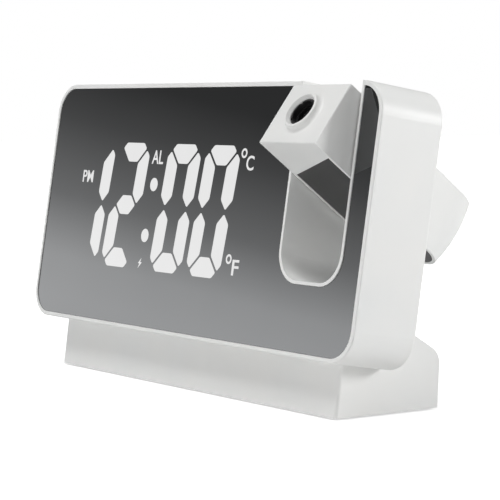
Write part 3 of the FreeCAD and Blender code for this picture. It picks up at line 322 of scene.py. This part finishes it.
LIT = lit_white_diffuser()
outlines = segment_outlines()
digit_places = [HOURS_X, HOURS_X + DIGIT_PITCH, MINUTES_X, MINUTES_X + DIGIT_PITCH]
for number, (sign, x0) in enumerate(zip("1200", digit_places)):
    bm = bmesh.new()
    for name in DIGITS[sign]:
        corners = [bm.verts.new((x * MM, MIRROR_FACE + SKIN_BACK, z * MM))
                   for x, z in slanted(outlines[name], x0)]
        bm.faces.new(corners)
    bmesh.ops.bevel(bm, geom=list(bm.verts), offset=SEGMENT_ROUND * MM, segments=4, profile=0.5,
                    affect="VERTICES", material=-1)
    thicken(bm)
    piece("lit_digit_%d" % (number + 1), bm, LIT, "clock")

bm = bmesh.new()
colon_x = (HOURS_X + DIGIT_PITCH + MINUTES_X) / 2
for side in (-1, 1):
    middle = Matrix.Translation(((colon_x + side * COLON_RISE * SLANT) * MM,
                                 MIRROR_FACE + SKIN_BACK,
                                 (DIGIT_V - COLON_DROP + side * COLON_RISE) * MM))
    bmesh.ops.create_circle(bm, cap_ends=True, segments=32, radius=COLON_R * MM,
                            matrix=middle @ Matrix.Rotation(math.pi / 2, 4, "X"))
thicken(bm)
piece("lit_colon", bm, LIT, "clock")

# Letters are drawn large, with their strokes swelled, and then brought to their height and width. A
# small ring before a letter stands for degrees.
LETTER_SIZE = 10.0
LETTER_SWELL = 0.12
RING_OUTER = 1.6
RING_INNER = 0.9


def lit_letters(name, words, x, low, height, width):
    """Letters on the display, from their left and lower edge, with their height and width."""
    curve = bpy.data.curves.new(name, "FONT")
    curve.body = words
    curve.size = LETTER_SIZE
    curve.offset = LETTER_SWELL
    holder = bpy.data.objects.new(name, curve)
    scene.collection.objects.link(holder)
    bpy.context.view_layer.update()
    shown = holder.evaluated_get(bpy.context.evaluated_depsgraph_get())
    mesh = bpy.data.meshes.new_from_object(shown)
    bpy.data.objects.remove(holder)
    xs = [v.co.x for v in mesh.vertices]
    ys = [v.co.y for v in mesh.vertices]
    wide = (max(xs) - min(xs)) / width
    tall = (max(ys) - min(ys)) / height
    left, foot = min(xs), min(ys)
    bm = bmesh.new()
    bm.from_mesh(mesh)
    bpy.data.meshes.remove(mesh)
    for v in bm.verts:
        v.co = Vector(((x + (v.co.x - left) / wide) * MM, MIRROR_FACE + SKIN_BACK,
                       (low + (v.co.y - foot) / tall) * MM))
    bmesh.ops.remove_doubles(bm, verts=bm.verts, dist=0.001 * MM)
    thicken(bm)
    piece(name, bm, LIT, "clock")


def lit_degree_ring(name, x, z):
    """A degree sign, as a flat ring about its middle."""
    bm = bmesh.new()
    turn = (Matrix.Translation((x * MM, MIRROR_FACE + SKIN_BACK, z * MM))
            @ Matrix.Rotation(math.pi / 2, 4, "X"))
    for radius in (RING_OUTER, RING_INNER):
        bmesh.ops.create_circle(bm, segments=24, radius=radius * MM, matrix=turn)
    bmesh.ops.bridge_loops(bm, edges=bm.edges)
    thicken(bm)
    piece(name, bm, LIT, "clock")


BOLT = [(-25.6, 24.7), (-27.4, 22.9), (-26.5, 22.8), (-27.3, 21.1), (-25.1, 23.2), (-26.1, 23.3)]

lit_letters("legend_pm", "PM", -71.5, 49.6, 4.3, 7.1)
lit_letters("legend_al", "AL", -26.9, 57.2, 4.7, 7.0)
lit_letters("legend_c", "C", 29.2, 56.4, 4.8, 4.1)
lit_letters("legend_f", "F", 28.5, 22.5, 5.1, 3.7)
lit_degree_ring("legend_c_ring", 27.4, 61.9)
lit_degree_ring("legend_f_ring", 26.2, 27.6)
bm = bmesh.new()
bm.faces.new([bm.verts.new((x * MM, MIRROR_FACE + SKIN_BACK, z * MM)) for x, z in BOLT])
thicken(bm)
piece("legend_bolt", bm, LIT, "clock")


# Marks on the rear: a cross in each screw head, and a printed sign on each key

REAR_FACE = 23.6
SCREW_SUNK = 0.1
KEY_PROUD = 0.9
SCREW_FACE = REAR_FACE - SCREW_SUNK
KEY_FACE = REAR_FACE + KEY_PROUD
KEY_HEIGHT = 68.0
KEY_FIRST_X = -38.0
KEY_PITCH = 15.0
SCREW_PLACES = [(x, z) for x in (-84.0, 44.15) for z in (12.0, 77.0)]
CROSS_REACH = 1.35
CROSS_STROKE = 0.62
SIGN_STROKE = 0.35


def disc_outline(radius, x=0.0, z=0.0, start=0, turn=360, steps=20):
    """Points round an arc, in degrees from the right."""
    angles = [math.radians(start + turn * i / steps) for i in range(steps + (turn < 360))]
    return [(x + radius * math.cos(a), z + radius * math.sin(a)) for a in angles]


def bar(x0, z0, x1, z1, width=SIGN_STROKE):
    """A straight stroke between two points."""
    along = Vector((x1 - x0, z1 - z0)).normalized() * (width / 2)
    return [(x0 - along.y, z0 + along.x), (x0 + along.y, z0 - along.x),
            (x1 + along.y, z1 - along.x), (x1 - along.y, z1 + along.x)]


def hoop(outer, inner):
    """A ring as four quarter strips."""
    strips = []
    for start in (0, 90, 180, 270):
        strips.append(disc_outline(outer, start=start, turn=90, steps=8)
                      + disc_outline(inner, start=start, turn=90, steps=8)[::-1])
    return strips


def rear_marks(bm, outlines, x, z, face):
    """Flat strokes on a face of the rear. A mark reads from behind, so left and right swap."""
    y = face * MM - SKIN_BACK
    for outline in outlines:
        corners = [bm.verts.new(((x - dx) * MM, y, (z + dz) * MM)) for dx, dz in outline]
        bm.faces.new(corners)


# Pad-printed ink is a thin, slightly rough film; each screw's cross recess is a flat dark sheet of
# painted shade
INK = moulded_plastic("grey_pad_print_ink", "8A8C8E", "7E8082", 0.55, 0.2, 0.002, 3.0)
RECESS_PAINTED_SHADE = moulded_plastic("painted_recess_shade", "4A4B4D", "3C3D3F", 0.4, 0.2, 0.01, 1.0)

half = CROSS_STROKE / 2
CROSS = [bar(-CROSS_REACH, 0, CROSS_REACH, 0, CROSS_STROKE),
         bar(0, half, 0, CROSS_REACH, CROSS_STROKE), bar(0, -half, 0, -CROSS_REACH, CROSS_STROKE)]
# The crosses are not cut into the steel: their dark colour is painted shade where a real recess
# would lie in shadow
bm = bmesh.new()
for x, z in SCREW_PLACES:
    rear_marks(bm, CROSS, x, z, SCREW_FACE)
thicken(bm, 1)
piece("rear_screw_crosses", bm, RECESS_PAINTED_SHADE, "clock")

# The keys from left to right as seen from the front: clock face, bell, two triangles and beam
KEY_SIGNS = {
    "key_time": hoop(1.75, 1.35) + [bar(0, -0.2, 0, 1.0), bar(0, 0, 0.8, 0)],
    "key_alarm": [disc_outline(1.0, 0, 0.3, turn=180, steps=10) + [(-1.25, -0.9), (1.25, -0.9)],
                  disc_outline(0.4, 0, -1.3, steps=10)],
    "key_up": [[(-1.5, -1.0), (1.5, -1.0), (0, 1.3)]],
    "key_down": [[(-1.5, 1.0), (0, -1.3), (1.5, 1.0)]],
    "key_projector": [disc_outline(0.7, -1.2, 0, steps=12), bar(0, 0, 1.9, 0),
                      bar(-0.1, 0.5, 1.7, 1.3), bar(-0.1, -0.5, 1.7, -1.3)],
}
for number, (key, signs) in enumerate(KEY_SIGNS.items()):
    bm = bmesh.new()
    rear_marks(bm, signs, KEY_FIRST_X + number * KEY_PITCH, KEY_HEIGHT, KEY_FACE)
    thicken(bm, 1)
    piece(key + "_sign", bm, INK, key)


# Studio: white floor that keeps the shadow, white surroundings, three soft lamps

FLOOR_HALF = 4.0
GLOW_NEAR, GLOW_FAR = 0.55, 1.0
GLOW_FROM, GLOW_FULL = 0.12, 0.4


def white_background_paper():
    """Matt white background paper, faintly mottled. It keeps the object's shadow, and its glow for
    the camera alone grows with the distance, up to the white of the surroundings."""
    material, tree = new_material("white_background_paper")
    place = add(tree, "ShaderNodeTexCoord")
    mottle = add(tree, "ShaderNodeTexNoise", {"Scale": 1 / (125 * MM)},
                 {"Vector": (place, "Object")})
    tone = add(tree, "ShaderNodeValToRGB", links={"Fac": (mottle, "Fac")},
               stops=[(0.0, linear("EAEAEA")), (1.0, linear("EEEEEE"))])
    paper = add(tree, "ShaderNodeBsdfDiffuse", links={"Color": (tone, "Color")})
    ray = add(tree, "ShaderNodeLightPath")
    reach = add(tree, "ShaderNodeVectorMath", links={0: (place, "Object")}, operation="LENGTH")
    fade = add(tree, "ShaderNodeMapRange",
               {"From Min": GLOW_FROM, "From Max": GLOW_FULL, "To Min": GLOW_NEAR,
                "To Max": GLOW_FAR},
               {"Value": (reach, "Value")})
    share = add(tree, "ShaderNodeMath", operation="MULTIPLY",
                links={0: (ray, "Is Camera Ray"), 1: (fade, "Result")})
    glow = add(tree, "ShaderNodeEmission", {"Color": (1, 1, 1, 1)}, {"Strength": (share, 0)})
    both = add(tree, "ShaderNodeAddShader", links={0: (paper, 0), 1: (glow, 0)})
    add(tree, "ShaderNodeOutputMaterial", links={"Surface": (both, 0)})
    return material


bm = bmesh.new()
bmesh.ops.create_grid(bm, x_segments=1, y_segments=1, size=FLOOR_HALF)
floor_mesh = bpy.data.meshes.new("floor")
bm.to_mesh(floor_mesh)
bm.free()
floor = bpy.data.objects.new("floor", floor_mesh)
scene.collection.objects.link(floor)
finish(floor, white_background_paper())

# What a mirror sees of the room, from the horizon up to ROOM_TOP: it is bright near the horizon and
# dark overhead, which is what a mirror that leans back shows. Camera and transmission rays see
# white, and matt surfaces are lit by a plain grey.
ROOM_TOP = 0.25
ROOM_GREYS = [(0.0, 1.85), (0.25, 1.9), (0.33, 1.75), (0.45, 0.8), (0.6, 0.33), (0.7, 0.16),
              (1.0, 0.12)]
AROUND_GREY = 0.36

world = bpy.data.worlds.new("studio")
scene.world = world
world.use_nodes = True
tree = world.node_tree
tree.nodes.clear()
ray = add(tree, "ShaderNodeLightPath")
place = add(tree, "ShaderNodeTexCoord")
split = add(tree, "ShaderNodeSeparateXYZ", links={"Vector": (place, "Generated")})
height = add(tree, "ShaderNodeMapRange", {"From Min": 0.0, "From Max": ROOM_TOP},
             {"Value": (split, "Z")})
room = add(tree, "ShaderNodeValToRGB", links={"Fac": (height, "Result")},
           stops=[(position, (grey, grey, grey, 1)) for position, grey in ROOM_GREYS])
# A colour Mix node has its factor at input 0, its colours at inputs 6 and 7, and its result at
# output 2
soft = add(tree, "ShaderNodeMix", {6: (AROUND_GREY, AROUND_GREY, AROUND_GREY, 1)},
           {0: (ray, "Is Glossy Ray"), 7: (room, "Color")}, data_type="RGBA")
seen = add(tree, "ShaderNodeMath", operation="MAXIMUM",
           links={0: (ray, "Is Camera Ray"), 1: (ray, "Is Transmission Ray")})
whole = add(tree, "ShaderNodeMix", {7: (1, 1, 1, 1)}, {0: (seen, 0), 6: (soft, 2)},
            data_type="RGBA")
background = add(tree, "ShaderNodeBackground", links={"Color": (whole, 2)})
add(tree, "ShaderNodeOutputWorld", links={"Surface": (background, 0)})


def aim(obj, place, way):
    """Puts a lamp or the camera at its place, and turns it the way that it looks."""
    scene.collection.objects.link(obj)
    obj.location = place
    obj.rotation_euler = way.to_track_quat("-Z", "Y").to_euler()


# Soft lamps: name, place and width in metres, and watts. All look at the clock's lower middle.
LAMP_TARGET = Vector((0.0, 0.0, 0.05))
LAMPS = [
    ("soft_box_right_rear", (1.0, 1.0, 0.42), 0.4, 9.4),
    ("soft_box_front", (-0.15, -0.55, 1.4), 0.5, 10.4),
    ("soft_box_low_front", (0.2, -1.2, 0.1), 0.2, 1.2),
]
for name, place, size, watts in LAMPS:
    lamp_data = bpy.data.lights.new(name, "AREA")
    lamp_data.shape = "DISK"
    lamp_data.size = size
    lamp_data.energy = watts
    aim(bpy.data.objects.new(name, lamp_data), place, LAMP_TARGET - Vector(place))

# Camera at the photograph's place, with its focal length in pixels of a frame 500 pixels wide
SENSOR_WIDTH = 36.0
FRAME_PIXELS = 500
FOCAL_PIXELS = 1995.875
CAMERA_REACH = 20.0
CAMERA_PLACE = (0.551175, -0.383277 - DEPTH_MIDDLE, 0.094459)
CAMERA_VIEW = Vector((-0.81450, 0.57565, -0.07224))

camera_data = bpy.data.cameras.new("camera")
camera_data.sensor_fit = "HORIZONTAL"
camera_data.sensor_width = SENSOR_WIDTH
camera_data.lens = FOCAL_PIXELS / FRAME_PIXELS * SENSOR_WIDTH
camera_data.clip_end = CAMERA_REACH
camera = bpy.data.objects.new("camera", camera_data)
aim(camera, CAMERA_PLACE, CAMERA_VIEW)
scene.camera = camera
scene.view_settings.view_transform = "Standard"
